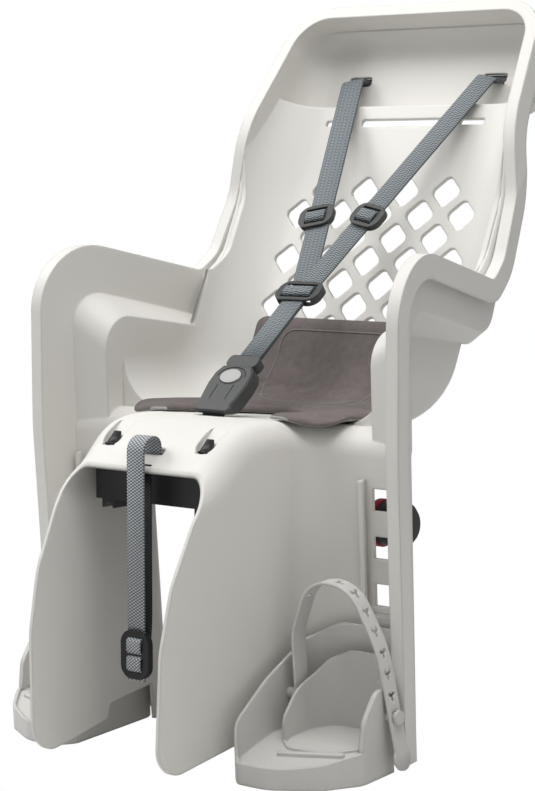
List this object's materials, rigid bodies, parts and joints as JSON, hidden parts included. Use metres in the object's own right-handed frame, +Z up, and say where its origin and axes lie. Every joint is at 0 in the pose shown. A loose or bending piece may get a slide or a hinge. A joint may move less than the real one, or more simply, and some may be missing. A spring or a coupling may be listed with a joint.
{
  "type": "rear child bicycle seat",
  "caption": "Moulded child seat for a bicycle carrier with leg guards, lattice back, webbing harness, pad, sliding footrests and a screw clamp.",
  "frame": {"origin": "midway between the axes of the two carrier rails, at mid length of the clamp grooves", "axes": "+X to the rider's left, +Y to the rear, +Z up"},
  "size_m": [0.424, 0.5039, 0.6668],
  "materials": {
    "shell_plastic": "fine grained, off white",
    "footrest_plastic": "fine grained, light grey",
    "strap_rubber": "soft, light grey",
    "webbing": "twill webbing, grey",
    "retention_webbing": "plain weave, light and dark grey",
    "dark_plastic": "satin, dark grey",
    "button_plastic": "satin, light grey",
    "pad_felt": "felted cloth, brown grey",
    "clamp_plastic": "satin, black",
    "red_plastic": "satin, red",
    "steel": "zinc plated"
  },
  "bodies": {
    "seat": {"seat_shell": "shell_plastic", "shoulder_strap_left": "webbing", "shoulder_strap_right": "webbing", "strap_anchors": "dark_plastic", "harness_strap": "webbing", "buckle_housing": "dark_plastic", "buckle_tongue": "dark_plastic", "crotch_strap": "webbing", "crotch_anchor": "dark_plastic", "seat_pad": "pad_felt", "retention_strap": "retention_webbing", "clamp_plate": "clamp_plastic", "fixing_bolts": "steel"},
    "footrest_left": {"footrest_left": "footrest_plastic", "foot_strap_left": "strap_rubber"},
    "footrest_right": {"footrest_right": "footrest_plastic", "foot_strap_right": "strap_rubber"},
    "clamp_screw": {"lead_screw": "steel", "clamp_knob": "clamp_plastic", "knob_ring": "red_plastic"},
    "jaw_left": {"clamp_jaw_left": "clamp_plastic"},
    "jaw_right": {"clamp_jaw_right": "clamp_plastic"},
    "buckle_button": {"buckle_button": "button_plastic"},
    "adjuster_left": {"adjuster_left": "dark_plastic"},
    "adjuster_right": {"adjuster_right": "dark_plastic"},
    "adjuster_chest": {"adjuster_chest": "dark_plastic"},
    "ladder_lock": {"ladder_lock": "dark_plastic"}
  },
  "joints": [
    {"name": "footrest_left_height", "type": "slide", "parent": "seat", "child": "footrest_left", "axis": [0, -0.0549, 0.9985], "range_m": [0, 0.082]},
    {"name": "footrest_right_height", "type": "slide", "parent": "seat", "child": "footrest_right", "axis": [0, -0.0549, 0.9985], "range_m": [0, 0.082]},
    {"name": "knob_turn", "type": "hinge", "parent": "seat", "child": "clamp_screw", "pos_m": [0.13, 0.058, -0.014], "axis": [1, 0, 0], "range_deg": [0, 1440]},
    {"name": "jaw_left_slide", "type": "slide", "parent": "seat", "child": "jaw_left", "axis": [1, 0, 0], "range_m": [0, 0.01]},
    {"name": "jaw_right_slide", "type": "slide", "parent": "seat", "child": "jaw_right", "axis": [-1, 0, 0], "range_m": [0, 0.01]},
    {"name": "button_press", "type": "slide", "parent": "seat", "child": "buckle_button", "axis": [0, 0.6737, -0.739], "range_m": [0, 0.003], "stiffness_N_per_m": 400, "springref_m": -0.0005},
    {"name": "adjuster_left_slide", "type": "slide", "parent": "seat", "child": "adjuster_left", "axis": [-0.2569, -0.6673, -0.699], "range_m": [-0.03, 0.03]},
    {"name": "adjuster_right_slide", "type": "slide", "parent": "seat", "child": "adjuster_right", "axis": [0.2568, -0.6609, -0.7051], "range_m": [-0.03, 0.03]},
    {"name": "adjuster_chest_slide", "type": "slide", "parent": "seat", "child": "adjuster_chest", "axis": [0, -0.8019, -0.5975], "range_m": [0, 0.03]},
    {"name": "ladder_lock_slide", "type": "slide", "parent": "seat", "child": "ladder_lock", "axis": [0, 0, 1], "range_m": [-0.008, 0.08]}
  ],
  "couplings": [
    {"joint": "jaw_left_slide", "follows": "knob_turn", "m_per_rad": 0.0003978},
    {"joint": "jaw_right_slide", "follows": "knob_turn", "m_per_rad": 0.0003978}
  ]
}
